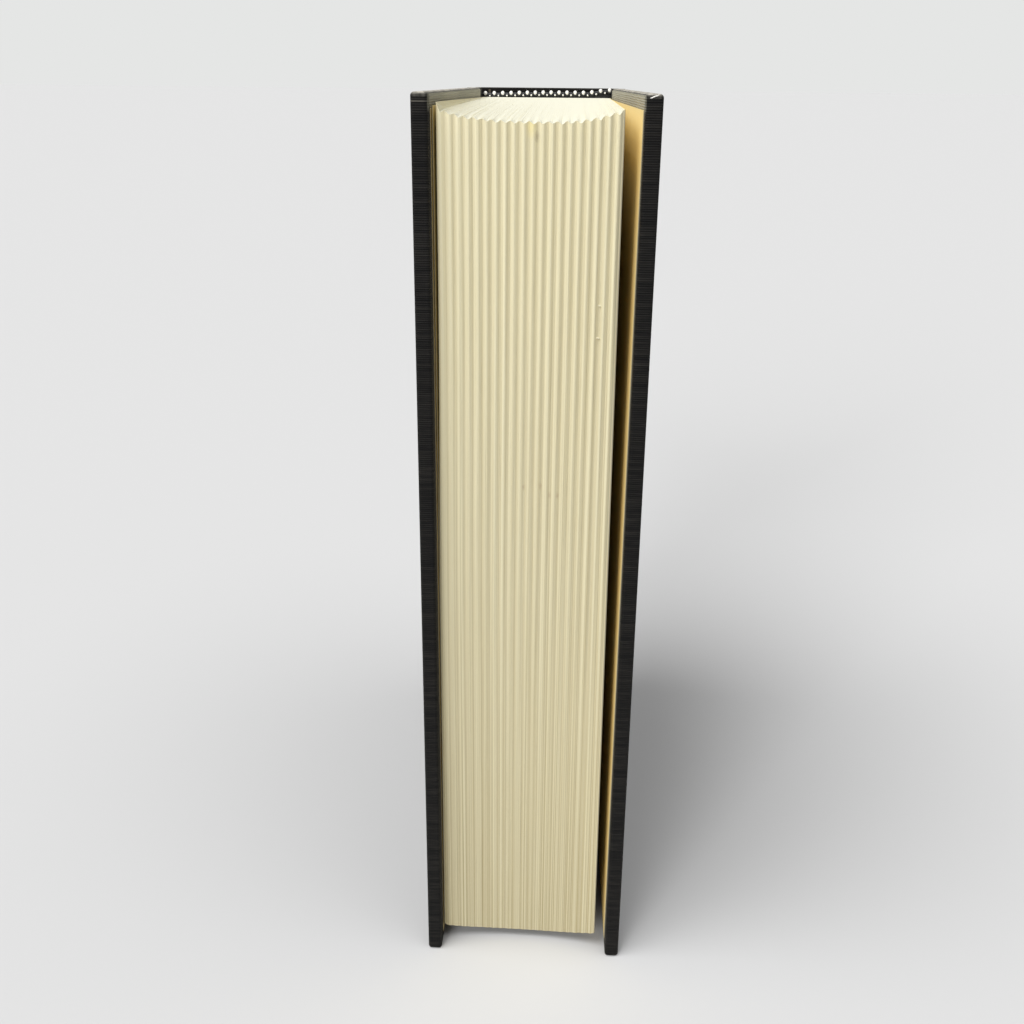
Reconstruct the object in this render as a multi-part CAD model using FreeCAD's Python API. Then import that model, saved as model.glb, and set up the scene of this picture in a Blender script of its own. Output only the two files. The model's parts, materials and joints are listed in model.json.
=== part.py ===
import FreeCAD, Part
import math
import os

# A thick case-bound hardback that stands on the tail edges of its covers, with its sewn block of leaves
# hanging between them. The leaves have sagged towards the fore-edge, most in the middle of the block.
# Frame: +Z is up, -Y is the fore-edge, -X is the front cover, and the origin is the middle of the footprint.
# "Out" is the distance from the side of the block, square to the covers, and "run" is the distance from the
# fore-edge of the covers towards the spine.

# Covers, with their cloth on
cover_height = 242.0
cover_width = 150.0
board_thickness = 3.2
board_edge_radius = 0.5
cloth_thickness = 0.4
turn_in = 15.0
mitre_margin = 1.5
mitre_width = 0.3
mitre_depth = 0.2
back_cover_opening_deg = 1.22

# Endpapers and the gauze that joins the block to the covers
paper_thickness = 0.2
paper_margin = 3.6
paper_slope = 4.0
cover_clearance = 0.25
mull_thickness = 0.3
mull_flange = 25.0
mull_end_gap = 3.0

# Joints, where the cloth folds at the board and again at the shoulder
board_to_fold = 0.6
joint_width = 6.0
fold_clearance = 0.15
shoulder_clearance = 0.65

# Block of leaves
section_count = 20
head_square = 3.2
tail_square = 5.8
fold_past_joint = 2.55
spine_thickness = 44.4
fore_head_thickness = 43.7
fore_tail_thickness = 44.9
fore_recess_front = 4.0
fore_recess_back = 3.2
rounding = 0.9
sag_front = -0.2
sag_back = 0.2
sag_middle = 2.9
section_sag = 0.5
section_swell = 0.3
shoulder_depth = 1.3
shoulder_width = 1.8

# Linings and bands on the spine of the block, over a film of glue
glue_thickness = 0.2
lining_thickness = 0.3
band_thickness = 0.4
band_depth = 8.0
bead_radius = 0.9
bead_core_radius = 0.65
bead_length = 1.5
bead_count = 16
bead_set_in = 0.4
bead_clearance = 0.05

# Spine of the case
stiffener_thickness = 0.8
stiffener_half_width = 21.0
spine_turn_in_half_width = 20.2
hollow = 0.5
flank_rise = 2.0
flank_run = 1.4
side_run = 3.0

# Layers of a cover, counted out from the side of the block
paper_out = cover_clearance
turn_in_out = paper_out + paper_thickness
board_out = turn_in_out + cloth_thickness
cloth_out = board_out + board_thickness
cover_out = cloth_out + cloth_thickness
fold_out = (paper_out + board_out + cloth_thickness) / 2
cloth_edge_radius = board_edge_radius + cloth_thickness

# Places along the run from the fore-edge of the covers
board_fold_run = cover_width + board_to_fold
shoulder_fold_run = board_fold_run + joint_width
flank_foot_run = shoulder_fold_run + shoulder_clearance + cloth_thickness / 2
flank_top_run = flank_foot_run + flank_run
flank_top_out = fold_out + flank_rise
side_top_run = flank_top_run + side_run
leaf_width = flank_foot_run + fold_past_joint - fore_recess_front

# Heights
leaf_tail = tail_square
leaf_head = cover_height - head_square
leaf_height = leaf_head - leaf_tail
mull_tail = turn_in + mull_end_gap
mull_head = cover_height - turn_in - mull_end_gap


def arch(share):
    """A hump that is 0 at both ends of its share and 1 in the middle."""
    return 1 - (2 * share - 1) ** 2


def blend(low, high, share):
    return low + (high - low) * share


def sag(across):
    """How far the fore-edge of a leaf hangs, which changes little over the middle of the block."""
    return blend(sag_front, sag_back, across) + sag_middle * (1 - abs(2 * across - 1) ** 3)


def leaf_angle(across, in_section):
    """How far the leaf has turned about the middle of its spine fold, in radians."""
    drop = sag(across) + section_sag * arch(in_section)
    return math.asin(drop / leaf_width)


def leaf_point(across, in_section, from_fold, height, spine_offset=0.0):
    """A point (across, run, z) of a leaf. across is 0 at the front leaf and 1 at the back one, in_section is the
    same within one folded section, from_fold is the distance from the spine fold and height is 0 at the tail."""
    recess = blend(fore_recess_front, fore_recess_back, across) + rounding * arch(across)
    fold_run = recess + leaf_width
    angle = leaf_angle(across, in_section)
    up = leaf_tail + leaf_height * height - (leaf_tail + leaf_head) / 2
    back = spine_offset - from_fold
    run = fold_run + back * math.cos(angle) - up * math.sin(angle)
    z = (leaf_tail + leaf_head) / 2 + up * math.cos(angle) + back * math.sin(angle)
    fore_thickness = blend(fore_tail_thickness, fore_head_thickness, height)
    thickness = blend(spine_thickness, fore_thickness, min(1.0, from_fold / leaf_width))
    flare = shoulder_width * max(0.0, 1 - from_fold / shoulder_depth)
    x = front_leaf_x + thickness * across + flare * (2 * across - 1) ** 3
    return FreeCAD.Vector(x, fore_edge_y + run, z)


# The deepest fold of the block is the middle one at the tail, and the hollow of the case's spine clears it
middle_turn = math.sin(leaf_angle(0.5, 0.5))
deepest_fold_run = (
    blend(fore_recess_front, fore_recess_back, 0.5) + rounding + leaf_width + leaf_height / 2 * middle_turn
)
spine_run = (
    deepest_fold_run + glue_thickness + bead_radius + band_thickness + hollow
    + 2 * cloth_thickness + stiffener_thickness + 2 * glue_thickness
)

# Overall sizes, and the planes of the block's two sides
opening = math.radians(back_cover_opening_deg)
edge_centre_out = cover_out - cloth_edge_radius
swung_out = (
    fold_out + (edge_centre_out - fold_out) * math.cos(opening)
    + (board_fold_run - cloth_edge_radius) * math.sin(opening) + cloth_edge_radius
)
block_thickness = spine_thickness + 2 * paper_thickness
overall_thickness = cover_out + block_thickness + swung_out
overall_width = spine_run
front_side_x = cover_out - overall_thickness / 2
back_side_x = front_side_x + block_thickness
front_leaf_x = front_side_x + paper_thickness
fore_edge_y = -overall_width / 2
middle_x = (front_side_x + back_side_x) / 2

# Arc of the case's spine, through the tops of its two sides and its outermost line
cloth_line_run = spine_run - cloth_thickness / 2
flank_half_width = block_thickness / 2 + flank_top_out
spine_rise = cloth_line_run - side_top_run
cloth_line_radius = (flank_half_width**2 + spine_rise**2) / (2 * spine_rise)
spine_centre = FreeCAD.Vector(middle_x, fore_edge_y + cloth_line_run - cloth_line_radius, 0)


def box(out_low, out_high, run_low, run_high, z_low, z_high):
    """A block in the layout of a cover: X is out, Y is the frame's and Z is up."""
    corner = FreeCAD.Vector(out_low, fore_edge_y + run_low, z_low)
    return Part.makeBox(out_high - out_low, run_high - run_low, z_high - z_low, corner)


def on_front(shape):
    """Puts a shape from the layout of a cover on the front side of the block."""
    placed = shape.mirror(FreeCAD.Vector(0, 0, 0), FreeCAD.Vector(1, 0, 0))
    placed.translate(FreeCAD.Vector(front_side_x, 0, 0))
    return placed


def on_back(shape):
    """Puts a shape from the layout of a cover on the back side of the block, shut."""
    placed = shape.copy()
    placed.translate(FreeCAD.Vector(back_side_x, 0, 0))
    return placed


def on_open_back(shape):
    """The same, for a piece of the back cover, which stands slightly open."""
    placed = on_back(shape)
    fold = FreeCAD.Vector(back_side_x + fold_out, fore_edge_y + board_fold_run, 0)
    placed.rotate(fold, FreeCAD.Vector(0, 0, 1), back_cover_opening_deg)
    return placed


def rectangle(out, run_low, run_high, z_low, z_high):
    corners = [
        FreeCAD.Vector(out, fore_edge_y + run, z)
        for run, z in ((run_low, z_low), (run_high, z_low), (run_high, z_high), (run_low, z_high))
    ]
    return Part.makePolygon(corners + corners[:1])


def sloped_pad(out_low, out_high):
    """The field inside the turn-ins and the gauze, which narrows by the paper's slope towards the board."""
    run_low = turn_in
    run_high = cover_width - mull_flange
    wide = rectangle(out_low, run_low, run_high, turn_in, cover_height - turn_in)
    narrow = rectangle(
        out_high, run_low + paper_slope, run_high - paper_slope,
        turn_in + paper_slope, cover_height - turn_in - paper_slope,
    )
    return Part.makeLoft([wide, narrow], True, True)


def cover_board():
    board = box(
        board_out, cloth_out, cloth_thickness, cover_width - cloth_thickness,
        cloth_thickness, cover_height - cloth_thickness,
    )
    return board.makeFillet(board_edge_radius, board.Edges)


def mitre_seam(z_corner, turn_deg):
    """The slit where two turn-ins meet at a corner of the fore-edge."""
    start = mitre_margin * math.sqrt(2)
    end = (turn_in - mitre_margin) * math.sqrt(2)
    seam = box(turn_in_out, turn_in_out + mitre_depth, start, end, -mitre_width / 2, mitre_width / 2)
    seam.rotate(FreeCAD.Vector(0, fore_edge_y, 0), FreeCAD.Vector(1, 0, 0), turn_deg)
    seam.translate(FreeCAD.Vector(0, 0, z_corner))
    return seam


def cover_cloth():
    """Cloth round a board, turned in at the head, tail and fore-edge, with mitred corners. It leaves the board
    bare on its inner side, within the turn-ins, and along the edge next to the joint."""
    outside = box(turn_in_out, cover_out, 0, cover_width, 0, cover_height)
    outside = outside.makeFillet(cloth_edge_radius, outside.Edges)
    window = box(0, board_out, turn_in, cover_width, turn_in, cover_height - turn_in)
    bare_edge = box(
        0, board_out + board_edge_radius, cover_width - cloth_edge_radius, cover_width,
        turn_in, cover_height - turn_in,
    )
    cloth = outside.cut(cover_board()).cut(window).cut(bare_edge)
    return cloth.cut(mitre_seam(0, 45)).cut(mitre_seam(cover_height, -45))


def pastedown():
    """The endpaper's pasted half, which drops from the turn-ins to the board inside them."""
    sheet = box(
        paper_out, turn_in_out, paper_margin, cover_width - cloth_edge_radius,
        paper_margin, cover_height - paper_margin,
    )
    sheet = sheet.fuse(sloped_pad(turn_in_out, board_out))
    return sheet.cut(sloped_pad(paper_out, board_out - paper_thickness)).removeSplitter()


def mull_on_board():
    return box(
        board_out - mull_thickness, board_out, cover_width - mull_flange + paper_slope,
        cover_width - cloth_edge_radius, mull_tail, mull_head,
    )


def joint_strip(out_low, out_high, z_low, z_high):
    run_low = board_fold_run + fold_clearance
    run_high = shoulder_fold_run - fold_clearance
    return box(out_low, out_high, run_low, run_high, z_low, z_high)


def joint_cloth():
    """The cloth in the groove between board and shoulder, doubled by its turn-ins at head and tail."""
    strip = joint_strip(turn_in_out, board_out + cloth_thickness, 0, cover_height)
    return strip.cut(joint_strip(0, board_out, turn_in, cover_height - turn_in))


def joint_mull():
    return joint_strip(board_out - mull_thickness, board_out, mull_tail, mull_head)


def joint_paper():
    return joint_strip(paper_out, turn_in_out, paper_margin, cover_height - paper_margin)


def edge_row(rows):
    """One edge for each row of points: a line through two, or an arc through three."""
    edges = []
    for points in rows:
        if len(points) == 3:
            edges.append(Part.Arc(*points).toShape())
        else:
            edges.append(Part.LineSegment(*points).toShape())
    return edges


def ruled_body(stations):
    """A closed solid between rows of edges. Each station is (tail edges, head edges) along the same shares of
    the block, and neighbouring stations and rows are joined by ruled faces."""
    faces = []
    for near, far in zip(stations, stations[1:]):
        for level in (0, 1):
            faces += [Part.makeRuledSurface(a, b) for a, b in zip(near[level], far[level])]
        for end, vertex in ((0, 0), (-1, -1)):
            tail_line = Part.makeLine(near[0][end].Vertexes[vertex].Point, far[0][end].Vertexes[vertex].Point)
            head_line = Part.makeLine(near[1][end].Vertexes[vertex].Point, far[1][end].Vertexes[vertex].Point)
            faces.append(Part.makeRuledSurface(tail_line, head_line))
    for tail_row, head_row in (stations[0], stations[-1]):
        faces += [Part.makeRuledSurface(a, b) for a, b in zip(tail_row, head_row)]
    shell = Part.makeShell(faces)
    shell.sewShape()
    solid = Part.makeSolid(shell)
    if solid.Volume < 0:
        solid.reverse()
    return solid


def section_rows(from_fold, height, spine_offset=0.0, swell=0.0):
    """The edges of all sections at one distance from the fold, straight or swelling away from it."""
    rows = []
    for number in range(section_count):
        points = [leaf_point(number / section_count, 0, from_fold, height, spine_offset)]
        if swell:
            points.append(leaf_point((number + 0.5) / section_count, 0.5, from_fold + swell, height, spine_offset))
        points.append(leaf_point((number + 1) / section_count, 0, from_fold, height, spine_offset))
        rows.append(points)
    return edge_row(rows)


def text_block():
    """All the leaves. Each section swells at the fore-edge and has sagged a little more in its middle."""
    return ruled_body([
        (section_rows(leaf_width, 0, 0, section_swell), section_rows(leaf_width, 1, 0, section_swell)),
        (section_rows(shoulder_depth, 0), section_rows(shoulder_depth, 1)),
        (section_rows(0, 0), section_rows(0, 1)),
    ])


def free_endpaper(across, outward):
    """The endpaper's loose half, which lies on the outer leaf of the block."""
    thickness = FreeCAD.Vector(outward * paper_thickness, 0, 0)
    stations = []
    for from_fold in (leaf_width, shoulder_depth, 0):
        levels = []
        for height in (0, 1):
            inner = leaf_point(across, 0, from_fold, height)
            levels.append(edge_row([(inner, inner + thickness)]))
        stations.append(tuple(levels))
    return ruled_body(stations)


def spine_layer(offset, thickness, z_low, z_high):
    """A sheet on the folds of the block, between two heights."""
    low = (z_low - leaf_tail) / leaf_height
    high = (z_high - leaf_tail) / leaf_height
    stations = []
    for step in (offset, offset + thickness):
        stations.append((section_rows(0, low, step), section_rows(0, high, step)))
    return ruled_body(stations)


def end_band(height, upward):
    """A headband: a woven tape on the folds, with a beaded cord along the edge of the leaves."""
    edge = blend(leaf_tail, leaf_head, height)
    rise = upward * (bead_radius + bead_clearance)
    inside = edge - upward * band_depth
    band = spine_layer(glue_thickness, band_thickness, min(inside, edge + rise), max(inside, edge + rise))
    cord = []
    for number in range(section_count):
        start = leaf_point(number / section_count, 0, bead_set_in, height)
        end = leaf_point((number + 1) / section_count, 0, bead_set_in, height)
        along = end - start
        start.z += rise
        cord.append(Part.makeCylinder(bead_core_radius, along.Length, start, along))
    for number in range(bead_count):
        across = (number + 0.5) / bead_count
        centre = leaf_point(across, 0, bead_set_in, height)
        along = leaf_point(across + 0.01, 0, bead_set_in, height) - centre
        along.normalize()
        centre.z += rise
        cord.append(Part.makeCylinder(bead_radius, bead_length, centre - along * (bead_length / 2), along))
    return band.fuse(cord)


def arc_point(radius, side_x):
    """The point of an arc about the spine's centre at a distance from the middle of the book."""
    rise = math.sqrt(radius**2 - side_x**2)
    return spine_centre + FreeCAD.Vector(side_x, rise, 0)


def arc_band(inner_radius, outer_radius, half_width, z_low, z_high):
    """An upright curved strip between two radii."""
    outer = [arc_point(outer_radius, x) for x in (-half_width, 0, half_width)]
    inner = [arc_point(inner_radius, x) for x in (half_width, 0, -half_width)]
    edges = [
        Part.Arc(*outer).toShape(), Part.makeLine(outer[2], inner[0]),
        Part.Arc(*inner).toShape(), Part.makeLine(inner[2], outer[0]),
    ]
    strip = Part.Face(Part.Wire(edges)).extrude(FreeCAD.Vector(0, 0, z_high - z_low))
    strip.translate(FreeCAD.Vector(0, 0, z_low))
    return strip


cloth_inner_radius = cloth_line_radius - cloth_thickness / 2
stiffener_outer_radius = cloth_inner_radius - glue_thickness
stiffener_inner_radius = stiffener_outer_radius - stiffener_thickness
turn_in_outer_radius = stiffener_inner_radius - glue_thickness
turn_in_inner_radius = turn_in_outer_radius - cloth_thickness


def spine_stiffener():
    return arc_band(
        stiffener_inner_radius, stiffener_outer_radius, stiffener_half_width,
        cloth_thickness + glue_thickness, cover_height - cloth_thickness - glue_thickness,
    )


def spine_cloth():
    """The cloth over the spine and down both shoulders, turned in over the stiffener at head and tail."""
    sides = []
    for outward in (-1, 1):
        corners = ((fold_out, flank_foot_run), (flank_top_out, flank_top_run), (flank_top_out, side_top_run))
        sides.append([
            FreeCAD.Vector(middle_x + outward * (block_thickness / 2 + out), fore_edge_y + run, 0)
            for out, run in corners
        ])
    front, back = sides
    line = Part.Wire([
        Part.makeLine(front[0], front[1]),
        Part.makeLine(front[1], front[2]),
        Part.Arc(front[2], arc_point(cloth_line_radius, 0), back[2]).toShape(),
        Part.makeLine(back[2], back[1]),
        Part.makeLine(back[1], back[0]),
    ])
    section = line.makeOffset2D(cloth_thickness / 2, 0, True, True)
    cloth = section.extrude(FreeCAD.Vector(0, 0, cover_height))
    for z_low, z_fold in ((0, 0), (cover_height - turn_in, cover_height - cloth_thickness)):
        cloth = cloth.fuse(arc_band(
            turn_in_inner_radius, turn_in_outer_radius, spine_turn_in_half_width, z_low, z_low + turn_in
        ))
        cloth = cloth.fuse(arc_band(
            turn_in_inner_radius, cloth_inner_radius, spine_turn_in_half_width, z_fold, z_fold + cloth_thickness
        ))
    return cloth.removeSplitter()


def pieces():
    """Every piece of the book, by the name of its node."""
    board = cover_board()
    cloth = cover_cloth()
    paper = pastedown()
    made = {
        "text_block": text_block(),
        "front_free_endpaper": free_endpaper(0, -1),
        "back_free_endpaper": free_endpaper(1, 1),
        "head_band": end_band(1, 1),
        "tail_band": end_band(0, -1),
        "spine_mull": spine_layer(glue_thickness, mull_thickness, mull_tail, mull_head),
        "spine_lining": spine_layer(2 * glue_thickness + mull_thickness, lining_thickness, mull_tail, mull_head),
        "spine_stiffener": spine_stiffener(),
        "spine_cloth": spine_cloth(),
    }
    for side, put, put_cover in (("front", on_front, on_front), ("back", on_back, on_open_back)):
        made[side + "_joint_cloth"] = put(joint_cloth())
        made[side + "_joint_mull"] = put(joint_mull())
        made[side + "_joint_paper"] = put(joint_paper())
        made[side + "_board"] = put_cover(board)
        made[side + "_cover_cloth"] = put_cover(cloth)
        made[side + "_cover_mull"] = put_cover(mull_on_board())
        made[side + "_pastedown"] = put_cover(paper)
    return made


os.makedirs("parts", exist_ok=True)
for node, shape in pieces().items():
    shape.exportStep(os.path.join("parts", node + ".step"))
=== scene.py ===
import json
import math

import bmesh
import bpy
from mathutils import Matrix, Vector


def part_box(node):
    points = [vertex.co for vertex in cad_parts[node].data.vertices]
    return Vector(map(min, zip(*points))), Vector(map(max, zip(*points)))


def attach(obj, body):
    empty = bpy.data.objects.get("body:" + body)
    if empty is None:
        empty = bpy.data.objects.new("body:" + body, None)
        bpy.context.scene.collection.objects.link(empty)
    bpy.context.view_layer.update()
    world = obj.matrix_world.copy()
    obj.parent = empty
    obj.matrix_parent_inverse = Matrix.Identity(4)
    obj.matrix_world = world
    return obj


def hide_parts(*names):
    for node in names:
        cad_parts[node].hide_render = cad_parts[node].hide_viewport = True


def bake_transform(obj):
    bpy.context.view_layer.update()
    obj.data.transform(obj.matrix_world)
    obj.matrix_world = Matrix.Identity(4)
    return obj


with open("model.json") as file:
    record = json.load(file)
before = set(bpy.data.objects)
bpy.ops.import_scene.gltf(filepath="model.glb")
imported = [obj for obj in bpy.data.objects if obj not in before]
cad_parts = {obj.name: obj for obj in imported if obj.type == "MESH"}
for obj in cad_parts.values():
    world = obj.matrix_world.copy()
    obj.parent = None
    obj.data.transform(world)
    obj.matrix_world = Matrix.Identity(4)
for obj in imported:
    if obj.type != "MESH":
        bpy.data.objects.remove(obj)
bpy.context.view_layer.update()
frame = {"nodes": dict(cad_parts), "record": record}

MM = 0.001

# Sizes of the book in millimetres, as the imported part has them. "Out" is the distance from the side of the
# block, square to the covers, and "run" is the distance from the fore-edge of the covers towards the spine.
SECTIONS = 20
LEAVES_PER_SECTION = 15
HEAD_SQUARE = 3.2
TAIL_SQUARE = 5.8
LEAF_WIDTH = 156.0
SPINE_THICKNESS = 44.4
FORE_HEAD_THICKNESS = 43.7
FORE_TAIL_THICKNESS = 44.9
RECESS_FRONT = 4.0
RECESS_BACK = 3.2
ROUNDING = 0.9
SAG_FRONT = -0.2
SAG_BACK = 0.2
SAG_MIDDLE = 2.9
SHOULDER_FLARE = 1.2
PAPER_THICKNESS = 0.2
BACK_OPENING = math.radians(1.22)
FOLD_OUT = 0.75
BOARD_END_RUN = 150.0
BOARD_FOLD_RUN = 150.6
GROOVE_MIDDLE_RUN = 153.6

# Where the cloth and the paper of a groove start and stop bending, as runs
BOARD_BEND = (151.3, 150.0)
SHOULDER_BEND = (157.3, 155.9)

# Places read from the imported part, in millimetres. The side of the block lies a little past the joint paper.
JOINT_PAPER_TO_SIDE = 0.25
FORE_EDGE_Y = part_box("front_cover_cloth")[0].y / MM
COVER_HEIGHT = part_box("front_cover_cloth")[1].z / MM
COVER_OUT = (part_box("front_joint_paper")[1].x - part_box("front_cover_cloth")[0].x) / MM + JOINT_PAPER_TO_SIDE
FRONT_SIDE_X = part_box("front_joint_paper")[1].x / MM + JOINT_PAPER_TO_SIDE
BACK_SIDE_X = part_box("back_joint_paper")[0].x / MM - JOINT_PAPER_TO_SIDE
FRONT_LEAF_X = FRONT_SIDE_X + PAPER_THICKNESS
LEAF_HEIGHT = COVER_HEIGHT - HEAD_SQUARE - TAIL_SQUARE
LEAF_MIDDLE_Z = TAIL_SQUARE + LEAF_HEIGHT / 2

MATHS = "ShaderNodeMath"
VECTOR_MATHS = "ShaderNodeVectorMath"
NOISE = "ShaderNodeTexNoise"
MIX = "ShaderNodeMix"
RANGE = "ShaderNodeMapRange"
COMBINE = "ShaderNodeCombineXYZ"
SEPARATE = "ShaderNodeSeparateXYZ"
STORE = "GeometryNodeStoreNamedAttribute"
PLACE = "GeometryNodeSetPosition"

# The colour is the third output of a Mix node
MIXED_COLOUR = 2


def linear(hex_colour):
    """A linear colour from an sRGB hex value."""
    channels = []
    for place in (1, 3, 5):
        value = int(hex_colour[place:place + 2], 16) / 255
        channels.append(value / 12.92 if value <= 0.04045 else ((value + 0.055) / 1.055) ** 2.4)
    return (*channels, 1.0)


def repeats(x_mm, y_mm, z_mm):
    """How often a pattern repeats in a metre along each axis, from the size of its grain in millimetres."""
    return 1 / (x_mm * MM), 1 / (y_mm * MM), 1 / (z_mm * MM)


def add(tree, kind, inputs=(), **settings):
    """Adds a node with its settings. inputs fill its sockets in order, or by name from a dict. Each is a
    value, a socket, or a node whose output is meant, and a list joins several in one socket."""
    node = tree.nodes.new(kind)
    for name, value in settings.items():
        setattr(node, name, value)
    if isinstance(inputs, dict):
        filled = [(node.inputs[name], given) for name, given in inputs.items()]
    else:
        filled = zip([socket for socket in node.inputs if socket.enabled], inputs)
    for socket, given in filled:
        for value in given if isinstance(given, list) else [given]:
            if isinstance(value, bpy.types.Node):
                value = next(output for output in value.outputs if output.enabled)
            if isinstance(value, bpy.types.NodeSocket):
                tree.links.new(value, socket)
            else:
                socket.default_value = value
    return node


def new_material(name, roughness, specular):
    """A Principled material with its tree and its shader."""
    material = bpy.data.materials.new(name)
    material.use_nodes = True
    tree = material.node_tree
    shader = tree.nodes["Principled BSDF"]
    shader.inputs["Roughness"].default_value = roughness
    shader.inputs["Specular IOR Level"].default_value = specular
    return material, tree, shader


def dress(tree, shader, colour, height, strength, depth_mm):
    """Gives a shader its colour, from a Mix node, and the relief of its surface."""
    relief = {"Strength": strength, "Distance": depth_mm * MM, "Height": height}
    normal = add(tree, "ShaderNodeBump", relief)
    tree.links.new(colour.outputs[MIXED_COLOUR], shader.inputs["Base Color"])
    tree.links.new(normal.outputs[0], shader.inputs["Normal"])


def book_cloth():
    """Black starched buckram: a plain weave whose weft stands out as fine level ribs, dull, with a dusty pale
    sheen at a glancing angle. Its head edges are painted with pale threads, all along a painted highlight of
    the light from above that is strongest on their upward faces, and at the bumped corners rubbed wear. The
    turned-in side near the head is painted grey, partly by pasting and partly as a painted sheen of light seen
    at a glancing angle. The ribs are drawn coarser than real, 0.55 mm apart, so that they show."""
    material, tree, shader = new_material("black_buckram", 0.85, 0.17)
    shader.inputs["Sheen Weight"].default_value = 0.09
    shader.inputs["Sheen Roughness"].default_value = 0.25
    shader.inputs["Sheen Tint"].default_value = linear("#dcd8c8")
    coordinates = add(tree, "ShaderNodeTexCoord")
    place, facing = coordinates.outputs["Object"], coordinates.outputs["Normal"]
    axes = add(tree, SEPARATE, (place,)).outputs
    thread_spacing = 0.55 * MM
    turns = 2 * math.pi / thread_spacing

    # Threads of the weave, which wander a little and are thicker in places
    slow = add(tree, VECTOR_MATHS, (place, repeats(16.67, 16.67, 3.846)), operation="MULTIPLY")
    sway = add(tree, MATHS, (add(tree, NOISE, {"Vector": slow, "Scale": 1.0}), 2.6), operation="MULTIPLY")
    weft = add(tree, MATHS, (axes["Z"], turns, sway), operation="MULTIPLY_ADD")
    weft = add(tree, MATHS, (weft,), operation="SINE")
    level = add(tree, MATHS, (axes["X"], axes["Y"]), operation="ADD")
    warp = add(tree, MATHS, (level, turns, sway), operation="MULTIPLY_ADD")
    warp = add(tree, MATHS, (warp,), operation="SINE")
    crossed = add(tree, MATHS, (weft, warp), operation="MULTIPLY")
    weave = add(tree, MATHS, (crossed, 0.35, weft), operation="MULTIPLY_ADD")
    long_spots = add(tree, VECTOR_MATHS, (place, repeats(11.11, 11.11, 0.6667)), operation="MULTIPLY")
    slub = add(tree, NOISE, {"Vector": long_spots, "Scale": 1.0})
    fibres = add(tree, NOISE, {
        "Vector": place, "Scale": 1 / (0.1923 * MM), "Detail": 3.0, "Roughness": 0.65,
    })
    height = add(tree, MATHS, (add(tree, MATHS, (weave, slub), operation="ADD"), fibres), operation="ADD")
    raised = add(tree, MATHS, (weave, 0.13, slub), operation="MULTIPLY_ADD")
    raised = add(tree, RANGE, (raised, 0.38, 0.8, 0.0, 1.0))
    tone = add(tree, MIX, (raised, linear("#050505"), linear("#2a2825")), data_type="RGBA")
    blotch = add(tree, NOISE, {"Vector": place, "Scale": 1 / (71.43 * MM), "Detail": 3.0})
    faded = add(tree, MATHS, (blotch, 0.3), operation="MULTIPLY")
    tone = add(tree, MIX, (faded, tone, linear("#121111")), data_type="RGBA")

    # The turned-in side of a cover, painted grey between the endpaper and the head, from the fore-edge to
    # the groove: partly pasting and partly a painted sheen of light seen at a glancing angle
    paste_and_sheen_from_head = (3.2 * MM, 4.4 * MM)
    paste_and_sheen_from_fore = ((1.5, 5.0, 0.4, 1.0), (148.0, 151.0, 1.0, 0.0))
    facings = add(tree, SEPARATE, (facing,)).outputs
    from_head = add(tree, MATHS, (COVER_HEIGHT * MM, axes["Z"]), operation="SUBTRACT")
    from_fore = add(tree, MATHS, (axes["Y"], FORE_EDGE_Y * MM), operation="SUBTRACT")
    side = add(tree, MATHS, (axes["X"],), operation="SIGN")
    inward = add(tree, MATHS, (facings["X"], side), operation="MULTIPLY")
    inward = add(tree, RANGE, (inward, -0.75, -0.95, 0.0, 1.0))
    near_head = add(tree, RANGE, (from_head, *paste_and_sheen_from_head, 0.95, 0.0))
    greyed = add(tree, MATHS, (inward, near_head), operation="MULTIPLY")
    for low, high, first, last in paste_and_sheen_from_fore:
        within = add(tree, RANGE, (from_fore, low * MM, high * MM, first, last))
        greyed = add(tree, MATHS, (greyed, within), operation="MULTIPLY")
    patchy = add(tree, RANGE, (blotch, 0.35, 0.65, 0.0, 1.0))
    # Grey-olive of pasting and of a painted glancing sheen
    paste_and_sheen = add(tree, MIX, (patchy, linear("#959283"), linear("#b2af9e")), data_type="RGBA")
    tone = add(tree, MIX, (greyed, tone, paste_and_sheen), data_type="RGBA")

    # Pale threads along the head edges: a painted highlight of the light from above, strongest on their upward
    # faces, and more at the corners, which are rubbed wear
    to_corner = add(tree, MATHS, (from_head, from_fore), operation="ADD")
    spots = add(tree, VECTOR_MATHS, (place, repeats(1.429, 4.167, 1.111)), operation="MULTIPLY")
    rub_and_highlight_mottle = add(tree, NOISE, {"Vector": spots, "Scale": 1.0, "Detail": 3.0, "Roughness": 0.6})
    on_edge = add(tree, RANGE, (from_head, 0.05 * MM, 0.4 * MM, 1.0, 0.0))
    # Upward faces of the head edge are painted palest: painted highlight
    on_top = add(tree, RANGE, (facings["Z"], 0.2, 0.9, 0.2, 1.0))
    on_edge = add(tree, MATHS, (on_edge, on_top), operation="MULTIPLY")
    on_corner = add(tree, RANGE, (to_corner, 0.3 * MM, 1.2 * MM, 0.35, 0.0))
    wear_and_highlight = add(tree, MATHS, (on_edge, on_corner), operation="ADD")
    rub_and_highlight_mottle = add(tree, RANGE, (rub_and_highlight_mottle, 0.36, 0.64, 0.3, 0.85))
    wear_and_highlight = add(tree, MATHS, (wear_and_highlight, rub_and_highlight_mottle), operation="MULTIPLY", use_clamp=True)
    tone = add(tree, MIX, (wear_and_highlight, tone, linear("#d6d0c3")), data_type="RGBA")

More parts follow.
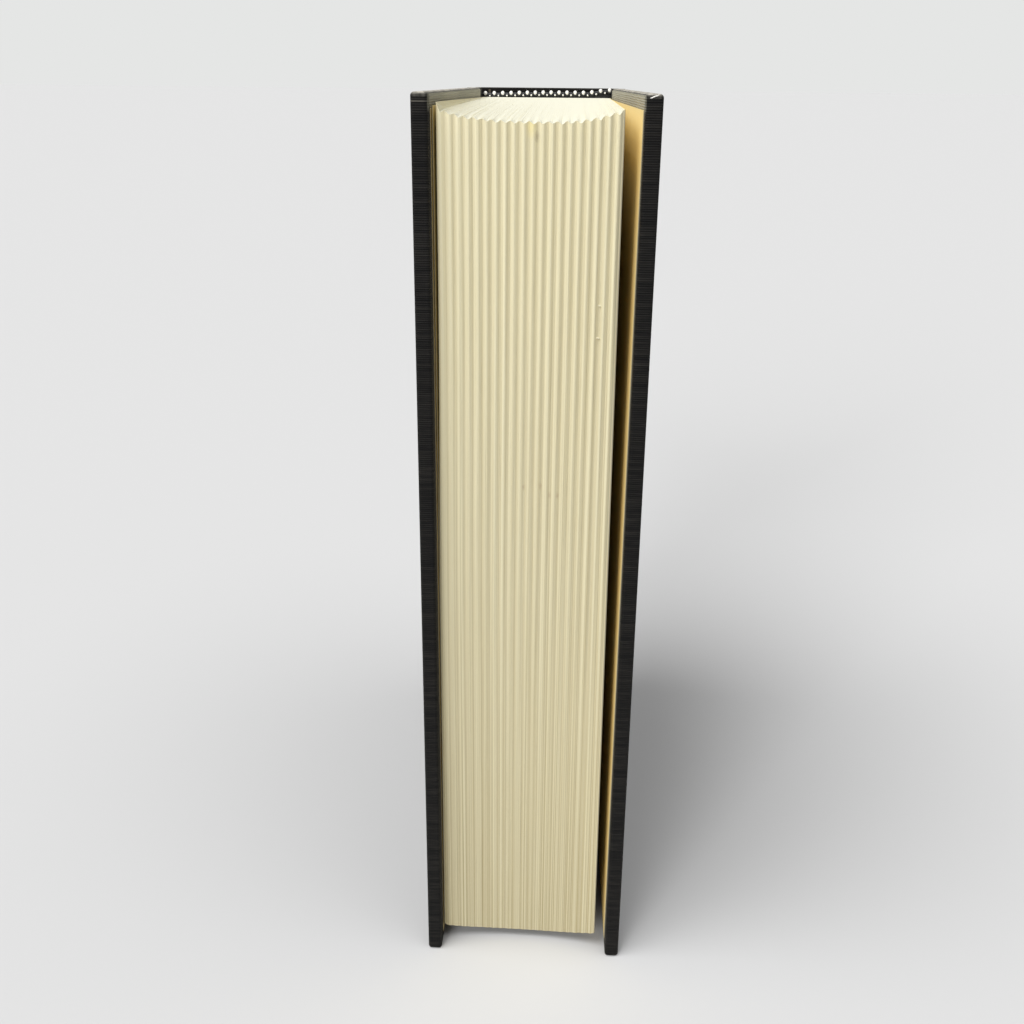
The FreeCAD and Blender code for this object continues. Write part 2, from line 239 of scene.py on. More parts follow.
    # One pale weft thread across the front cover's fore-edge, just below its head
    thread_below_head = 2.0 * MM
    off_thread = add(tree, MATHS, (from_head, thread_below_head), operation="SUBTRACT")
    off_thread = add(tree, MATHS, (off_thread,), operation="ABSOLUTE")
    on_thread = add(tree, RANGE, (off_thread, 0.05 * MM, 0.22 * MM, 0.35, 0.0))
    on_front = add(tree, MATHS, (axes["X"], FRONT_SIDE_X * MM), operation="LESS_THAN")
    on_thread = add(tree, MATHS, (on_thread, on_front), operation="MULTIPLY")
    near_fore = add(tree, MATHS, (from_fore, 3.0 * MM), operation="LESS_THAN")
    on_thread = add(tree, MATHS, (on_thread, near_fore), operation="MULTIPLY")
    tone = add(tree, MIX, (on_thread, tone, linear("#8b867b")), data_type="RGBA")
    dress(tree, shader, tone, height, 0.6, 0.12)
    return material


# Marks on the fore-edge, as (x, z) in millimetres: faint rusty specks where fingers have been, one yellowed
# spot, and one place where leaves are pinched together, painted darker there as painted shade of the crease
RUSTY_SPECKS = ((-1.8, 147.1), (2.5, 147.5), (4.9, 145.1), (6.9, 145.1))
YELLOWED = (-1.0, 235.2)
PINCHED = (0.2, 232.6)


def leaf_paper():
    """Uncoated book paper seen on its cut edges: cream and dull, painted browner in the dips between sections,
    partly dirt and partly painted shade, darker towards the tail as painted shade, and painted paler and less
    yellow on the trimmed head as a painted highlight of the light from above, with a slightly different tone
    on each leaf."""
    material, tree, shader = new_material("cream_book_paper", 0.92, 0.2)
    leaf = add(tree, "ShaderNodeAttribute", attribute_name="leaf").outputs["Fac"]
    dip = add(tree, "ShaderNodeAttribute", attribute_name="dip").outputs["Fac"]
    coordinates = add(tree, "ShaderNodeTexCoord")
    place, facing = coordinates.outputs["Object"], coordinates.outputs["Normal"]
    axes = add(tree, SEPARATE, (place,)).outputs

    # Each leaf has its own tone, and so have bundles of a few leaves, more so low down
    own = add(tree, "ShaderNodeTexWhiteNoise", (leaf,), noise_dimensions="1D")
    bundle = add(tree, NOISE, {"W": leaf, "Scale": 0.37, "Detail": 3.0, "Roughness": 0.7},
                 noise_dimensions="1D")
    mixed = add(tree, MATHS, (own, 0.45, bundle), operation="MULTIPLY_ADD")
    mixed = add(tree, RANGE, (mixed, 0.45, 1.0, 0.0, 1.0))
    low_down = add(tree, RANGE, (axes["Z"], 0.0, COVER_HEIGHT * MM, 1.0, 0.22))
    lined = add(tree, MATHS, (mixed, low_down), operation="MULTIPLY")
    tone = add(tree, MIX, (lined, linear("#f5eecd"), linear("#b9aa80")), data_type="RGBA")
    # Browner in the dips between sections: partly dirt, partly painted shade
    tone = add(tree, MIX, (dip, tone, linear("#ae9d78")), data_type="RGBA")
    # Darker towards the tail: painted shade of the light falling from above
    tail = add(tree, RANGE, (axes["Z"], 0.0, COVER_HEIGHT * MM, 0.26, 0.0))
    tone = add(tree, MIX, (tail, tone, linear("#9b8d6a")), data_type="RGBA")
    cloud_place = add(tree, VECTOR_MATHS, (place, repeats(25.0, 25.0, 111.1)), operation="MULTIPLY")
    cloud = add(tree, NOISE, {"Vector": cloud_place, "Scale": 1.0, "Detail": 3.0})
    cloud = add(tree, MATHS, (cloud, 0.3), operation="MULTIPLY")
    tone = add(tree, MIX, (cloud, tone, linear("#e3d7ae")), data_type="RGBA")

    # The trimmed head is painted paler and less yellow: a painted highlight of the light from above
    facings = add(tree, SEPARATE, (facing,)).outputs
    upward = add(tree, RANGE, (facings["Z"], 0.3, 0.8, 0.0, 0.95))
    tone = add(tree, MIX, (upward, tone, linear("#e3e1cf")), data_type="RGBA")

    # Marks on the fore-edge, taller than they are wide
    flattening = 0.4
    forward = add(tree, RANGE, (facings["Y"], -0.4, -0.8, 0.0, 1.0))
    ragged = add(tree, NOISE, {"Vector": place, "Scale": 1 / (0.3846 * MM)})
    ragged = add(tree, MATHS, (ragged, 0.5 * MM), operation="MULTIPLY")
    for marks, radius, strength, colour in (
        (RUSTY_SPECKS, 0.75, 0.3, "#9a6f4f"),
        ((YELLOWED,), 1.7, 0.5, "#f3e39a"),
        # Painted shade of the crease where leaves are pinched
        ((PINCHED,), 0.9, 0.45, "#8c7b5c"),
    ):
        for x, z in marks:
            flat = add(tree, VECTOR_MATHS, (place, (1, 0, flattening)), operation="MULTIPLY")
            centre = (x * MM, 0, flattening * z * MM)
            away = add(tree, VECTOR_MATHS, (flat, centre), operation="DISTANCE").outputs["Value"]
            away = add(tree, MATHS, (away, ragged), operation="ADD")
            spot = add(tree, RANGE, (away, radius * 0.3 * MM, radius * MM, strength, 0.0))
            spot = add(tree, MATHS, (spot, forward), operation="MULTIPLY")
            tone = add(tree, MIX, (spot, tone, linear(colour)), data_type="RGBA")
    fibres = add(tree, NOISE, {
        "Vector": place, "Scale": 1 / (0.3846 * MM), "Detail": 3.0, "Roughness": 0.6,
    })
    dress(tree, shader, tone, fibres, 0.25, 0.05)
    return material


def endpaper_stock():
    """Heavier uncoated endpaper, warm yellow-cream, with a faint fibrous mottle, a soft warm bloom at a
    glancing angle, and cut edges painted darker and greyer as painted shade."""
    material, tree, shader = new_material("warm_endpaper", 0.88, 0.25)
    shader.inputs["Sheen Weight"].default_value = 0.35
    shader.inputs["Sheen Roughness"].default_value = 0.35
    shader.inputs["Sheen Tint"].default_value = linear("#f7dd96")
    coordinates = add(tree, "ShaderNodeTexCoord")
    place = coordinates.outputs["Object"]
    mottle = add(tree, NOISE, {
        "Vector": place, "Scale": 1 / (8.333 * MM), "Detail": 4.0, "Roughness": 0.6,
    })
    tone = add(tree, MIX, (mottle, linear("#f6e09c"), linear("#fcebb6")), data_type="RGBA")
    # Faces towards the fore-edge are painted darker and greyer: painted shade
    forward = add(tree, SEPARATE, (coordinates.outputs["Normal"],)).outputs["Y"]
    edge = add(tree, RANGE, (forward, -0.5, -0.9, 0.0, 0.9))
    tone = add(tree, MIX, (edge, tone, linear("#8f8877")), data_type="RGBA")
    fibres = add(tree, NOISE, {
        "Vector": place, "Scale": 1 / (0.5556 * MM), "Detail": 3.0, "Roughness": 0.6,
    })
    dress(tree, shader, tone, fibres, 0.2, 0.06)
    return material


def greyboard():
    """Pulp book board, grey-brown with paler flecks in its pressed fibres, painted darker than real board as
    painted shade for its edge seen at the head of the spine.
    """
    material, tree, shader = new_material("grey_book_board", 0.95, 0.2)
    place = add(tree, "ShaderNodeTexCoord").outputs["Object"]
    flecks = add(tree, NOISE, {
        "Vector": place, "Scale": 1 / (1.111 * MM), "Detail": 5.0, "Roughness": 0.7,
    })
    pale = add(tree, RANGE, (flecks, 0.35, 0.6, 0.0, 1.0))
    tone = add(tree, MIX, (pale, linear("#484239"), linear("#655d50")), data_type="RGBA")
    dress(tree, shader, tone, flecks, 0.3, 0.1)
    return material


def gauze():
    """Open cotton mull stiffened with glue: pale threads 1 mm apart with darker holes between."""
    material, tree, shader = new_material("glued_mull", 0.9, 0.3)
    thread_spacing = 1.0 * MM
    turns = 2 * math.pi / thread_spacing
    axes = add(tree, SEPARATE, (add(tree, "ShaderNodeTexCoord").outputs["Object"],)).outputs
    upright = add(tree, MATHS, (axes["Z"], turns), operation="MULTIPLY")
    upright = add(tree, MATHS, (upright,), operation="SINE")
    across = add(tree, MATHS, (axes["X"], axes["Y"]), operation="ADD")
    across = add(tree, MATHS, (across, turns), operation="MULTIPLY")
    across = add(tree, MATHS, (across,), operation="SINE")
    grid = add(tree, MATHS, (upright, across), operation="MAXIMUM")
    thread = add(tree, RANGE, (grid, 0.2, 0.9, 0.0, 1.0))
    tone = add(tree, MIX, (thread, linear("#b9a986"), linear("#ebe4d0")), data_type="RGBA")
    dress(tree, shader, tone, grid, 0.5, 0.15)
    return material


def kraft_lining():
    """Brown kraft paper, smooth, with long faint fibres."""
    material, tree, shader = new_material("kraft_lining_paper", 0.8, 0.3)
    place = add(tree, "ShaderNodeTexCoord").outputs["Object"]
    place = add(tree, VECTOR_MATHS, (place, repeats(1.111, 1.111, 8.333)), operation="MULTIPLY")
    fibres = add(tree, NOISE, {"Vector": place, "Scale": 1.0, "Detail": 4.0, "Roughness": 0.6})
    pale = add(tree, RANGE, (fibres, 0.3, 0.7, 0.0, 1.0))
    tone = add(tree, MIX, (pale, linear("#94754c"), linear("#b2946a")), data_type="RGBA")
    dress(tree, shader, tone, fibres, 0.2, 0.05)
    return material


def silk(name, dark, light):
    """Twisted silk thread with a soft gloss along its strands, drawn coarser than real, 0.57 mm apart, so
    that they show. Diagonal bands turn ten radians in each unit of every axis."""
    material, tree, shader = new_material(name, 0.45, 0.45)
    strand_spacing = 0.5668 * MM
    scale = 2 * math.pi / (10 * math.sqrt(3) * strand_spacing)
    strands = add(tree, "ShaderNodeTexWave", {
        "Vector": add(tree, "ShaderNodeTexCoord").outputs["Object"], "Scale": scale, "Distortion": 1.5,
    }, bands_direction="DIAGONAL").outputs["Fac"]
    tone = add(tree, MIX, (strands, linear(dark), linear(light)), data_type="RGBA")
    dress(tree, shader, tone, strands, 0.4, 0.08)
    return material


CLOTH = book_cloth()
PAPER = leaf_paper()
ENDPAPER = endpaper_stock()
BOARD = greyboard()
MULL = gauze()
KRAFT = kraft_lining()
BLACK_SILK = silk("black_silk_thread", "#0b0b0c", "#1d1d1f")
WHITE_SILK = silk("white_silk_thread", "#e9e6dc", "#fbf9f3")
FINISH = {
    "leaves": PAPER, "endpaper": ENDPAPER, "lining_paper": KRAFT, "board": BOARD, "book_cloth": CLOTH,
    "gauze": MULL, "band": BLACK_SILK,
}


def finish_cad_nodes():
    """Gives every carried-over node the material of its slot in the record."""
    for subpart in frame["record"]["subparts"]:
        node = frame["nodes"][subpart["node"]]
        node.data.materials.clear()
        node.data.materials.append(FINISH[subpart["material_slot"]])


def new_tree(name, sizes):
    """A geometry tree with named inputs, one for each size: its sockets by name, and their identifiers."""
    tree = bpy.data.node_groups.new(name, "GeometryNodeTree")
    tree.interface.new_socket("Geometry", in_out="OUTPUT", socket_type="NodeSocketGeometry")
    identifiers = {}
    for size, value in sizes.items():
        kind = "NodeSocketInt" if isinstance(value, int) else "NodeSocketFloat"
        identifiers[size] = tree.interface.new_socket(size, in_out="INPUT", socket_type=kind).identifier
    group = add(tree, "NodeGroupInput")
    return tree, {size: group.outputs[size] for size in sizes}, identifiers


def grown(name, tree, geometry, identifiers, sizes):
    """Ends a tree with its geometry, evaluates it on an empty mesh and keeps the result as a plain mesh."""
    add(tree, "NodeGroupOutput", {"Geometry": geometry})
    holder = bpy.data.objects.new(name + "_rule", bpy.data.meshes.new(name + "_rule"))
    bpy.context.scene.collection.objects.link(holder)
    modifier = holder.modifiers.new("rule", "NODES")
    modifier.node_group = tree
    for size, value in sizes.items():
        modifier[identifiers[size]] = value
    graph = bpy.context.evaluated_depsgraph_get()
    mesh = bpy.data.meshes.new_from_object(holder.evaluated_get(graph))
    mesh.name = name
    bpy.data.objects.remove(holder)
    piece = bpy.data.objects.new(name, mesh)
    bpy.context.scene.collection.objects.link(piece)
    return piece


BLOCK_SIZES = {
    "Leaf width": LEAF_WIDTH, "Leaf height": LEAF_HEIGHT, "Spine thickness": SPINE_THICKNESS,
    "Recess front": RECESS_FRONT, "Recess back": RECESS_BACK, "Rounding": ROUNDING,
    "Sag front": SAG_FRONT, "Sag back": SAG_BACK, "Sag middle": SAG_MIDDLE,
}


def leaf_rule(tree, size, across):
    """How a leaf lies, from its place across the block: how far it has turned about the middle of its spine
    fold, and how far that fold is from the fore-edge of the covers."""
    off_middle = add(tree, MATHS, (across, 2.0, -1.0), operation="MULTIPLY_ADD")
    off_middle = add(tree, MATHS, (off_middle,), operation="ABSOLUTE")
    broad_hump = add(tree, MATHS, (off_middle, 3.0), operation="POWER")
    broad_hump = add(tree, MATHS, (1.0, broad_hump), operation="SUBTRACT")
    hump = add(tree, MATHS, (off_middle, 2.0), operation="POWER")
    hump = add(tree, MATHS, (1.0, hump), operation="SUBTRACT")
    drop = add(tree, MIX, (across, size["Sag front"], size["Sag back"]), clamp_factor=False)
    drop = add(tree, MATHS, (size["Sag middle"], broad_hump, drop), operation="MULTIPLY_ADD")
    angle = add(tree, MATHS, (drop, size["Leaf width"]), operation="DIVIDE")
    angle = add(tree, MATHS, (angle,), operation="ARCSINE")
    recess = add(tree, MIX, (across, size["Recess front"], size["Recess back"]), clamp_factor=False)
    recess = add(tree, MATHS, (size["Rounding"], hump, recess), operation="MULTIPLY_ADD")
    fold_run = add(tree, MATHS, (recess, size["Leaf width"]), operation="ADD")
    return angle, fold_run


def leaves():
    """Every leaf of the block as its own thin plate, set by rule. Each turns about the middle of its spine
    fold, most in the middle of the block. The inner leaves of each section have slid further out and down,
    which makes the ribs of the fore-edge and the scallops of the head, and the block narrows from spine to
    fore-edge."""
    sizes = {
        "Leaves": SECTIONS * LEAVES_PER_SECTION, "Leaves per section": float(LEAVES_PER_SECTION),
        "Fore head thickness": FORE_HEAD_THICKNESS, "Fore tail thickness": FORE_TAIL_THICKNESS,
        "Section sag front": 0.4, "Section sag back": 0.6, "Rib front": 0.45, "Rib back": 0.7,
        "Unevenness": 0.22, "Ripple": 0.35, "First leaf rise": 0.9, "First leaves drop": 0.5, "Curl in": 0.7,
    } | BLOCK_SIZES

    # Powers by which the ribs, the hang of the inner leaves and the curl fade away from the fore-edge: the
    # higher, the sooner
    rib_fade, hang_fade, curl_fade = 20.0, 26.0, 6.0
    tree, size, identifiers = new_tree("leaves_by_rule", sizes)

    # A point at the spine fold of each leaf, and a plate on each point
    number = add(tree, "GeometryNodeInputIndex")
    across = add(tree, MATHS, (number, 0.5), operation="ADD")
    across = add(tree, MATHS, (across, size["Leaves"]), operation="DIVIDE")
    angle, fold_run = leaf_rule(tree, size, across)
    step_down = add(tree, RANGE, (across, 0.0, 0.022, 0.0, 1.0))
    rise = add(tree, MATHS, (size["First leaf rise"], -1.0), operation="MULTIPLY")
    first = add(tree, MIX, (step_down, rise, size["First leaves drop"]))
    among_first = add(tree, RANGE, (across, 0.02, 0.25, 1.0, 0.0))
    first = add(tree, MATHS, (first, among_first), operation="MULTIPLY")
    uneven = add(tree, NOISE, {"W": number, "Scale": 0.61, "Detail": 2.0, "Roughness": 0.7},
                 noise_dimensions="1D")
    uneven = add(tree, MATHS, (uneven, 0.5), operation="SUBTRACT")
    uneven = add(tree, MATHS, (uneven, size["Unevenness"]), operation="MULTIPLY")
    tilt = add(tree, MATHS, (uneven, first), operation="ADD")
    tilt = add(tree, MATHS, (tilt, size["Leaf width"]), operation="DIVIDE")
    angle = add(tree, MATHS, (angle, tilt), operation="ADD")
    fold_run = add(tree, MATHS, (uneven, 0.4, fold_run), operation="MULTIPLY_ADD")
    fold_y = add(tree, MATHS, (fold_run, FORE_EDGE_Y), operation="ADD")
    fold_x = add(tree, MATHS, (size["Spine thickness"], across, FRONT_LEAF_X), operation="MULTIPLY_ADD")
    position = add(tree, COMBINE, (fold_x, fold_y, LEAF_MIDDLE_Z))
    points = add(tree, "GeometryNodeMeshLine", {"Count": size["Leaves"]})
    points = add(tree, PLACE, {"Geometry": points, "Position": position})
    points = add(tree, STORE, {"Geometry": points, "Name": "leaf", "Value": number}, data_type="FLOAT")
    leaf_thickness = add(tree, MATHS, (size["Fore tail thickness"], size["Leaves"]), operation="DIVIDE")
    slight_overlap = 1.01
    leaf_thickness = add(tree, MATHS, (leaf_thickness, slight_overlap), operation="MULTIPLY")
    plate_size = add(tree, COMBINE, (leaf_thickness, size["Leaf width"], size["Leaf height"]))
    plate = add(tree, "GeometryNodeMeshCube", {
        "Size": plate_size, "Vertices X": 2, "Vertices Y": 6, "Vertices Z": 20,
    })
    local = add(tree, SEPARATE, (add(tree, "GeometryNodeInputPosition"),)).outputs
    side = add(tree, MATHS, (local["X"], leaf_thickness), operation="DIVIDE")
    plate = add(tree, STORE, {"Geometry": plate, "Name": "side", "Value": side}, data_type="FLOAT")

    # The points of a plate crowd at its fore-edge, where it bends, and it hangs from the middle of its fold
    crowded = add(tree, MATHS, (local["Y"], size["Leaf width"]), operation="DIVIDE")
    crowded = add(tree, MATHS, (crowded, 0.5), operation="ADD")
    crowded = add(tree, MATHS, (crowded, 3.0), operation="POWER")
    crowded = add(tree, MATHS, (crowded, 1.0), operation="SUBTRACT")
    crowded = add(tree, MATHS, (crowded, size["Leaf width"]), operation="MULTIPLY")
    position = add(tree, COMBINE, (local["X"], crowded, local["Z"]))
    plate = add(tree, PLACE, {"Geometry": plate, "Position": position})
    turn = add(tree, COMBINE, (angle, 0.0, 0.0))
    turn = add(tree, "FunctionNodeEulerToRotation", (turn,))
    placed = add(tree, "GeometryNodeInstanceOnPoints", {
        "Points": points, "Instance": plate, "Rotation": turn,
    })
    block = add(tree, "GeometryNodeRealizeInstances", (placed,))

    # Where a corner of a leaf is: across the block and its section, up the block, and out from the fold. Both
    # sides of a plate count as in the same section.
    within_section = 0.98
    leaf = add(tree, "GeometryNodeInputNamedAttribute", {"Name": "leaf"}, data_type="FLOAT").outputs[0]
    side = add(tree, "GeometryNodeInputNamedAttribute", {"Name": "side"}, data_type="FLOAT").outputs[0]
    share = add(tree, MATHS, (leaf, size["Leaves"]), operation="DIVIDE")
    at = add(tree, MATHS, (leaf, 0.5), operation="ADD")
    at = add(tree, MATHS, (side, within_section, at), operation="MULTIPLY_ADD")
    at = add(tree, MATHS, (at, size["Leaves per section"]), operation="DIVIDE")
    at = add(tree, MATHS, (at,), operation="FRACT")
    at = add(tree, MATHS, (at, 2.0, -1.0), operation="MULTIPLY_ADD")
    off_middle = add(tree, MATHS, (at, at), operation="MULTIPLY")
    swell = add(tree, MATHS, (at, math.pi), operation="MULTIPLY")
    swell = add(tree, MATHS, (swell,), operation="COSINE")
    swell = add(tree, MATHS, (swell, 0.5, 0.5), operation="MULTIPLY_ADD")
    here = add(tree, SEPARATE, (add(tree, "GeometryNodeInputPosition"),)).outputs
    height = add(tree, MATHS, (here["Z"], TAIL_SQUARE), operation="SUBTRACT")
    height = add(tree, MATHS, (height, size["Leaf height"]), operation="DIVIDE", use_clamp=True)
    out = add(tree, MATHS, (FORE_EDGE_Y + LEAF_WIDTH + RECESS_FRONT, here["Y"]), operation="SUBTRACT")
    out = add(tree, MATHS, (out, size["Leaf width"]), operation="DIVIDE", use_clamp=True)

    # The ribs stand out towards the head, and the inner leaves of a section hang lower
    ribbed = add(tree, RANGE, (height, 0.1, 0.95, 0.06, 1.0), interpolation_type="SMOOTHSTEP")
    rib = add(tree, MIX, (share, size["Rib front"], size["Rib back"]))
    rib = add(tree, MATHS, (rib, ribbed), operation="MULTIPLY")
    rib = add(tree, MATHS, (rib, swell), operation="MULTIPLY")
    near_fore = add(tree, MATHS, (out, rib_fade), operation="POWER")
    rib = add(tree, MATHS, (rib, near_fore), operation="MULTIPLY")
    hang = add(tree, MIX, (share, size["Section sag front"], size["Section sag back"]))
    section = add(tree, MATHS, (leaf, size["Leaves per section"]), operation="DIVIDE")
    section = add(tree, MATHS, (section,), operation="FLOOR")
    own_hang = add(tree, "ShaderNodeTexWhiteNoise", (section,), noise_dimensions="1D").outputs["Value"]
    own_hang = add(tree, MATHS, (own_hang, 0.5, 0.75), operation="MULTIPLY_ADD")
    hang = add(tree, MATHS, (hang, own_hang), operation="MULTIPLY")
    hang = add(tree, MATHS, (hang, swell), operation="MULTIPLY")
    near_fore = add(tree, MATHS, (out, hang_fade), operation="POWER")
    hang = add(tree, MATHS, (hang, near_fore), operation="MULTIPLY")
    downward = add(tree, RANGE, (height, 0.0, 1.0, -0.3, -1.0))
    hang = add(tree, MATHS, (hang, downward), operation="MULTIPLY")

    # The block narrows towards its fore-edge and head, where the first leaves also curl away from the cover
    fore = add(tree, MIX, (height, size["Fore tail thickness"], size["Fore head thickness"]))
    narrowing = add(tree, MATHS, (fore, size["Spine thickness"]), operation="SUBTRACT")
    narrowing = add(tree, MATHS, (narrowing, out), operation="MULTIPLY")
    narrowing = add(tree, MATHS, (narrowing, share), operation="MULTIPLY")
    curl = add(tree, RANGE, (height, 0.4, 0.85, 0.0, size["Curl in"]), interpolation_type="SMOOTHSTEP")
    front_share = add(tree, MATHS, (1.0, share), operation="SUBTRACT")
    curl = add(tree, MATHS, (curl, front_share), operation="MULTIPLY")
    near_fore = add(tree, MATHS, (out, curl_fade), operation="POWER")
    curl = add(tree, MATHS, (curl, near_fore), operation="MULTIPLY")
    sideways = add(tree, MATHS, (narrowing, curl), operation="ADD")

    # Single leaves are not quite flat near the fore-edge
    along_block = add(tree, MATHS, (leaf, 0.3), operation="MULTIPLY")
    up_block = add(tree, MATHS, (height, 5.0), operation="MULTIPLY")
    waves = add(tree, COMBINE, (along_block, 0.0, up_block))
    ripple = add(tree, NOISE, {"Vector": waves, "Scale": 1.0, "Detail": 2.0})
    ripple = add(tree, MATHS, (ripple, 0.5), operation="SUBTRACT")
    ripple = add(tree, MATHS, (ripple, size["Ripple"]), operation="MULTIPLY")
    ripple = add(tree, MATHS, (ripple, out), operation="MULTIPLY")
    forward = add(tree, MATHS, (ripple, rib), operation="SUBTRACT")
    offset = add(tree, COMBINE, (sideways, forward, hang))
    block = add(tree, PLACE, {"Geometry": block, "Offset": offset})

    # How deep in the hollow between sections a leaf lies, for the paper's darkening there, partly dirt and
    # partly
    # painted shade: wide hollows towards the head, thin lines towards the tail
    sharpness = add(tree, RANGE, (height, 0.1, 0.9, 6.0, 1.2))
    dip = add(tree, MATHS, (off_middle, sharpness), operation="POWER")
    depth = add(tree, RANGE, (height, 0.1, 0.9, 0.55, 0.26))
    dip = add(tree, MATHS, (dip, depth), operation="MULTIPLY")
    block = add(tree, STORE, {"Geometry": block, "Name": "dip", "Value": dip}, data_type="FLOAT")
    block = add(tree, "GeometryNodeTransform", {"Geometry": block, "Scale": (MM, MM, MM)})
    block = add(tree, "GeometryNodeSetMaterial", {"Geometry": block, "Material": PAPER})
    piece = grown("leaves", tree, block, identifiers, sizes)
    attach(piece, "book_block")
    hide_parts("text_block")


def worked_band(name, node, upward, curl):
    """A headband: black silk over a cord, with a row of white beads along the edge of the leaves, a black
    loop round the underside of each and a white stitch between them, on a tape that is glued to the folds."""
    sizes = {
        "Beads": 16, "First bead": 1.35, "Bead spacing": 2.8, "Bead radius": 0.66, "Cord radius": 0.6,
        "Loop radius": 0.88, "Loop thread": 0.2, "Stitch radius": 0.32, "Middle rise": 0.5,
        "Tape thickness": 0.4, "Tape depth": 8.0, "Set in": 0.4, "Rise": 0.75, "Flare": SHOULDER_FLARE,
        "Curl": curl, "Upward": upward,
    } | BLOCK_SIZES
    tree, size, identifiers = new_tree(name + "_by_rule", sizes)
    half_height = add(tree, MATHS, (size["Leaf height"], 0.5), operation="MULTIPLY")

    def along_the_edge(distance, in_front, above):
        """The place at a distance along the band, in front of the folds and above the edge of the leaves."""
        across = add(tree, MATHS, (distance, size["Spine thickness"]), operation="DIVIDE")
        angle, fold_run = leaf_rule(tree, size, across)
        lean = add(tree, MATHS, (angle,), operation="SINE")
        lean = add(tree, MATHS, (lean, half_height), operation="MULTIPLY")
        lean = add(tree, MATHS, (lean, size["Upward"]), operation="MULTIPLY")
        run = add(tree, MATHS, (fold_run, lean), operation="SUBTRACT")
        run = add(tree, MATHS, (run, in_front), operation="SUBTRACT")
        y = add(tree, MATHS, (run, FORE_EDGE_Y), operation="ADD")
        curled = add(tree, RANGE, (across, 0.8, 0.97, 0.0, 1.0), interpolation_type="SMOOTHSTEP")
        rise = add(tree, MATHS, (curled, size["Curl"], above), operation="MULTIPLY_ADD")
        to_middle = add(tree, RANGE, (across, 0.0, 0.5, 0.0, 1.0))
        rise = add(tree, MATHS, (to_middle, size["Middle rise"], rise), operation="MULTIPLY_ADD")
        rise = add(tree, MATHS, (rise, half_height), operation="ADD")
        z = add(tree, MATHS, (rise, size["Upward"], LEAF_MIDDLE_Z), operation="MULTIPLY_ADD")
        tilt = add(tree, MATHS, (across, 2.0, -1.0), operation="MULTIPLY_ADD")
        flare = add(tree, MATHS, (tilt, 3.0), operation="POWER")
        flare = add(tree, MATHS, (flare, size["Flare"]), operation="MULTIPLY")
        x = add(tree, MATHS, (distance, flare), operation="ADD")
        x = add(tree, MATHS, (x, FRONT_LEAF_X), operation="ADD")
        return add(tree, COMBINE, (x, y, z))

    # The cord and the tape run the whole thickness of the block, the tape behind the folds
    steps = 60
    index = add(tree, "GeometryNodeInputIndex")
    distance = add(tree, MATHS, (index, 1.0 / steps), operation="MULTIPLY")
    distance = add(tree, MATHS, (distance, size["Spine thickness"]), operation="MULTIPLY")
    made = []
    tape_in_front = -0.2
    half_tape = add(tree, MATHS, (size["Tape thickness"], 0.5), operation="MULTIPLY")
    tape_front = add(tree, MATHS, (tape_in_front, half_tape), operation="SUBTRACT")
    tape_above = add(tree, MATHS, (size["Rise"], size["Tape depth"]), operation="SUBTRACT")
    tape_above = add(tree, MATHS, (tape_above, 0.5), operation="MULTIPLY")
    tape_height = add(tree, MATHS, (size["Rise"], size["Tape depth"]), operation="ADD")
    cord_profile = add(tree, "GeometryNodeCurvePrimitiveCircle", {
        "Resolution": 10, "Radius": size["Cord radius"],
    })
    tape_profile = add(tree, "GeometryNodeCurvePrimitiveQuadrilateral", {
        "Width": size["Tape thickness"], "Height": tape_height,
    })
    for in_front, above, profile in (
        (size["Set in"], size["Rise"], cord_profile), (tape_front, tape_above, tape_profile),
    ):
        line = add(tree, "GeometryNodeMeshLine", {"Count": steps + 1})
        line = add(tree, PLACE, {"Geometry": line, "Position": along_the_edge(distance, in_front, above)})
        line = add(tree, "GeometryNodeMeshToCurve", {"Mesh": line})
        line = add(tree, "GeometryNodeSetCurveNormal", {"Curve": line}, mode="Z_UP")
        core = add(tree, "GeometryNodeCurveToMesh", {
            "Curve": line, "Profile Curve": profile, "Fill Caps": True,
        })
        made.append(add(tree, "GeometryNodeSetMaterial", {"Geometry": core, "Material": BLACK_SILK}))

    # Beads, loops and stitches. Each has its shift along the band, counted in beads, and how far it stands in
    # front of the folds and above the edge of the leaves.
    ball = add(tree, "GeometryNodeMeshUVSphere", {"Segments": 12, "Rings": 8, "Radius": size["Bead radius"]})
    bead_stretch = 1.15
    ball = add(tree, "GeometryNodeTransform", {"Geometry": ball, "Scale": (1.0, 1.0, bead_stretch)})
    arc = add(tree, "GeometryNodeCurveArc", {
        "Resolution": 12, "Radius": size["Loop radius"], "Start Angle": math.pi * 0.95,
        "Sweep Angle": math.pi * 1.1,
    })
    arc = add(tree, "GeometryNodeTransform", {"Geometry": arc, "Rotation": (math.pi / 2, 0.0, 0.0)})
    thread = add(tree, "GeometryNodeCurvePrimitiveCircle", {"Resolution": 6, "Radius": size["Loop thread"]})
    loop = add(tree, "GeometryNodeCurveToMesh", {"Curve": arc, "Profile Curve": thread, "Fill Caps": True})
    stitch = add(tree, "GeometryNodeMeshUVSphere", {
        "Segments": 8, "Rings": 6, "Radius": size["Stitch radius"],
    })
    upside = add(tree, MATHS, (size["Upward"], -math.pi / 2, math.pi / 2), operation="MULTIPLY_ADD")
    turn = add(tree, COMBINE, (0.0, upside, 0.0))
    turn = add(tree, "FunctionNodeEulerToRotation", (turn,))
    for shape, shift, in_front, above, material in (
        (ball, 0.0, 0.6, 1.15, WHITE_SILK),
        (loop, 0.0, 0.9, 1.1, BLACK_SILK),
        (stitch, 0.5, 0.9, 0.35, WHITE_SILK),
    ):
        bead_distance = add(tree, MATHS, (index, shift), operation="ADD")
        bead_distance = add(tree, MATHS, (bead_distance, size["Bead spacing"], size["First bead"]),
                            operation="MULTIPLY_ADD")
        count = size["Beads"]
        if shift:
